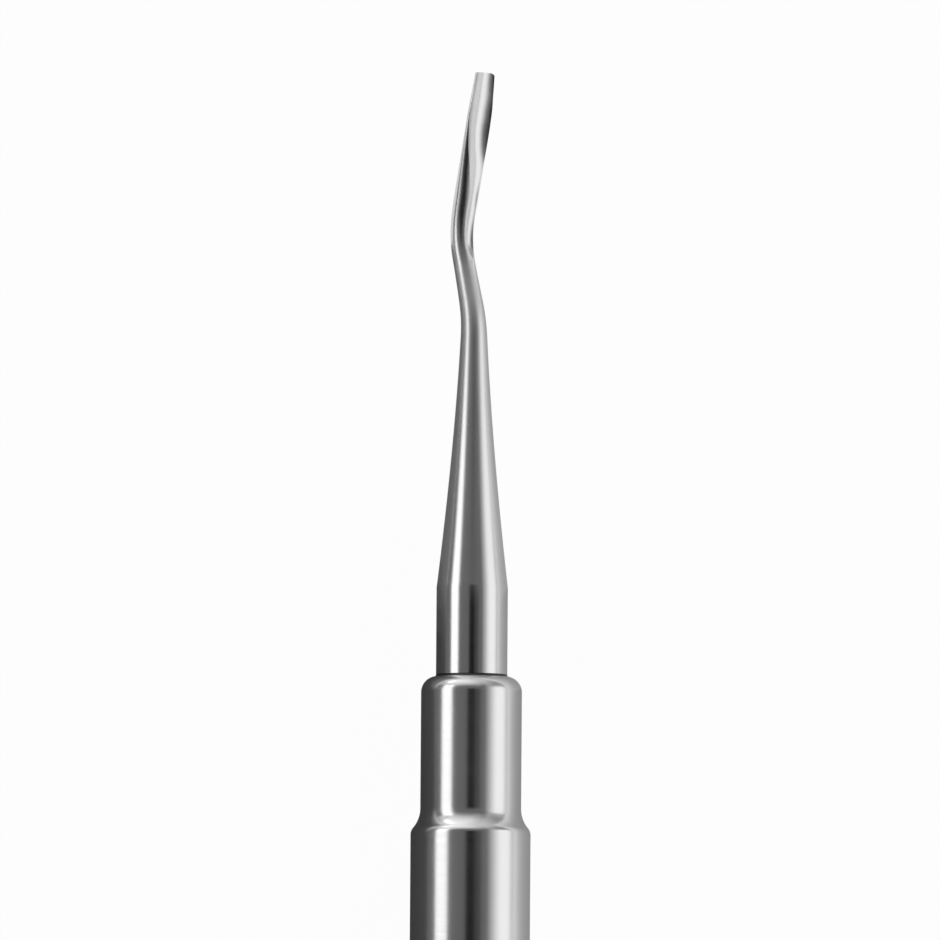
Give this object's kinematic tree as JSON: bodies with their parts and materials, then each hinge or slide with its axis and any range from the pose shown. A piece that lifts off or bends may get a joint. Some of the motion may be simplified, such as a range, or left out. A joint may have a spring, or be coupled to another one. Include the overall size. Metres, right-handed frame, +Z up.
{
  "type": "luxating elevator",
  "caption": "Slim hand instrument for loosening teeth: round steel handle with a stepped collar, tapered shank and a bent, hollow-ground blade.",
  "frame": {"origin": "on the surface that the instrument lies on, below the middle of its length", "axes": "+Y along the handle's axis towards the tip, +Z up, +X to the right when seen from above with the tip away"},
  "size_m": [0.0094, 0.1519, 0.0095],
  "materials": {
    "turned_steel": "satin, turned",
    "polished_steel": "polished"
  },
  "bodies": {
    "root": {"handle": "turned_steel", "working_end": "polished_steel"}
  },
  "joints": []
}
